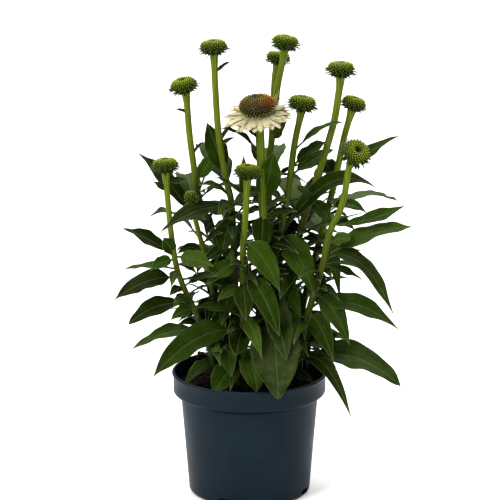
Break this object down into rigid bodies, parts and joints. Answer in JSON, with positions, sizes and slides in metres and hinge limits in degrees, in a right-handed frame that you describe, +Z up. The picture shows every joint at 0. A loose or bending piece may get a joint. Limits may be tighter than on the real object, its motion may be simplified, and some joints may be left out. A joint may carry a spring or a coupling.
{
  "type": "coneflower plant in pot",
  "caption": "Coneflower with tall bare-topped stems, green button heads and one open cream bloom with an orange cone, growing in a round nursery pot.",
  "frame": {"origin": "centre of the pot's flat underside, on the surface that it stands on", "axes": "+Z up along the pot's axis; -Y is the side that the picture shows"},
  "size_m": [0.323, 0.2191, 0.5037],
  "materials": {
    "pot": "moulded slate blue-grey nursery plastic, softly satin",
    "soil": "dark crumbly peat with bark flakes",
    "foliage": "dark green waxy leaves with pale veins on yellow-green ribbed stems",
    "button_heads": "packed pointed yellow-green florets over dark green bracts",
    "bloom_cone": "stiff orange-brown spikes, olive at their feet",
    "bloom_petals": "soft cream petals, finely grooved, greenish towards the cone"
  },
  "bodies": {
    "root": {"pot": "pot", "soil": "soil", "stem_left_low": "foliage", "stem_left_tall": "foliage", "stem_left_bud": "foliage", "stem_mid_tall": "foliage", "stem_front": "foliage", "stem_bloom": "foliage", "stem_tallest": "foliage", "stem_back": "foliage", "stem_mid_right": "foliage", "stem_right_tall": "foliage", "stem_right_back": "foliage", "stem_right_front": "foliage", "head_left_low": "button_heads", "head_left_tall": "button_heads", "head_mid_tall": "button_heads", "head_front": "button_heads", "head_tallest": "button_heads", "head_back": "button_heads", "head_mid_right": "button_heads", "head_right_tall": "button_heads", "head_right_back": "button_heads", "head_right_front": "button_heads", "bud": "button_heads", "bloom_cone": "bloom_cone", "bloom_petals": "bloom_petals"}
  },
  "joints": []
}
